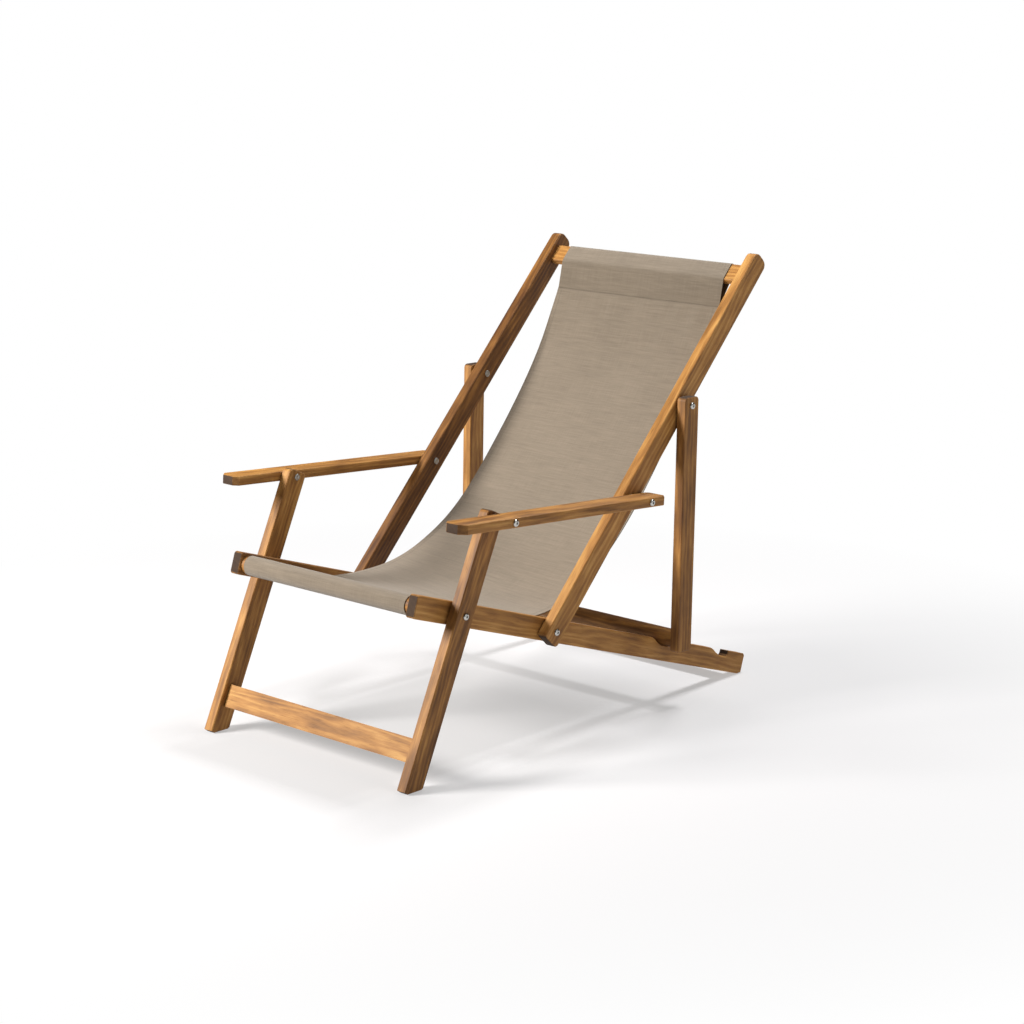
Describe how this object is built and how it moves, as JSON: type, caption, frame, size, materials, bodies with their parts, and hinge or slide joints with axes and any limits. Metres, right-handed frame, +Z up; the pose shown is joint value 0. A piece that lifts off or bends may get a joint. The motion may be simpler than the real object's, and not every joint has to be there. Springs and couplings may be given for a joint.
{
  "type": "folding deck chair",
  "caption": "Folding wooden deck chair with flat armrests, a hung fabric sling seat and back, a hinged rear prop and bolted pivots.",
  "frame": {"origin": "on the floor, in the middle of the footprint of the open chair", "axes": "+Z up, +X towards the sitter's left, -Y the way the chair faces"},
  "size_m": [0.681, 1.0688, 0.9047],
  "materials": {
    "oiled_wood": "oiled hardwood, open grain",
    "turned_wood": "oiled hardwood, turned",
    "steel": "satin stainless",
    "sling_fabric": "matt plain weave"
  },
  "bodies": {
    "seat_frame": {"seat_rail_left": "oiled_wood", "seat_rail_right": "oiled_wood", "seat_front_bar": "turned_wood", "seat_rear_bar": "oiled_wood", "sling": "sling_fabric", "leg_pivot_bolt_left": "steel", "leg_pivot_bolt_right": "steel", "leg_pivot_nut_left": "steel", "leg_pivot_nut_right": "steel", "leg_pivot_spacer_left": "steel", "leg_pivot_spacer_right": "steel", "back_pivot_bolt_left": "steel", "back_pivot_bolt_right": "steel", "back_pivot_nut_left": "steel", "back_pivot_nut_right": "steel", "back_pivot_spacer_left": "steel", "back_pivot_spacer_right": "steel"},
    "back_frame": {"back_rail_left": "oiled_wood", "back_rail_right": "oiled_wood", "back_top_bar": "oiled_wood", "prop_pivot_bolt_left": "steel", "prop_pivot_bolt_right": "steel", "prop_pivot_nut_left": "steel", "prop_pivot_nut_right": "steel", "prop_pivot_spacer_left": "steel", "prop_pivot_spacer_right": "steel"},
    "leg_frame": {"front_leg_left": "oiled_wood", "front_leg_right": "oiled_wood", "leg_stretcher": "oiled_wood", "arm_front_nut_left": "steel", "arm_front_nut_right": "steel"},
    "armrest_left": {"armrest_left": "oiled_wood", "arm_front_bolt_left": "steel", "arm_front_spacer_left": "steel", "arm_rear_bolt_left": "steel", "arm_rear_nut_left": "steel", "arm_rear_spacer_left": "steel"},
    "armrest_right": {"armrest_right": "oiled_wood", "arm_front_bolt_right": "steel", "arm_front_spacer_right": "steel", "arm_rear_bolt_right": "steel", "arm_rear_nut_right": "steel", "arm_rear_spacer_right": "steel"},
    "prop_frame": {"prop_leg_left": "oiled_wood", "prop_leg_right": "oiled_wood", "prop_crossbar": "turned_wood"}
  },
  "joints": [
    {"name": "back_fold", "type": "hinge", "parent": "seat_frame", "child": "back_frame", "pos_m": [0, -0.11085, 0.22454], "axis": [-1, 0, 0], "range_deg": [0, 64.6], "deforming": ["sling"]},
    {"name": "leg_fold", "type": "hinge", "parent": "seat_frame", "child": "leg_frame", "pos_m": [0, -0.36939, 0.30905], "axis": [-1, 0, 0], "range_deg": [0, 83.63]},
    {"name": "armrest_left_fold", "type": "hinge", "parent": "back_frame", "child": "armrest_left", "pos_m": [0, 0.10804, 0.45521], "axis": [1, 0, 0], "range_deg": [0, 49.78]},
    {"name": "armrest_right_fold", "type": "hinge", "parent": "back_frame", "child": "armrest_right", "pos_m": [0, 0.10804, 0.45521], "axis": [1, 0, 0], "range_deg": [0, 49.78]},
    {"name": "prop_swing", "type": "hinge", "parent": "back_frame", "child": "prop_frame", "pos_m": [0, 0.26774, 0.6235], "axis": [1, 0, 0], "range_deg": [0, 200.27]}
  ],
  "couplings": [
    {"joint": "leg_fold", "follows": "back_fold", "ratio": 1.2944},
    {"joint": "armrest_left_fold", "follows": "back_fold", "ratio": 0.7705},
    {"joint": "armrest_right_fold", "follows": "back_fold", "ratio": 0.7705},
    {"joint": "prop_swing", "follows": "back_fold", "ratio": 3.1}
  ]
}
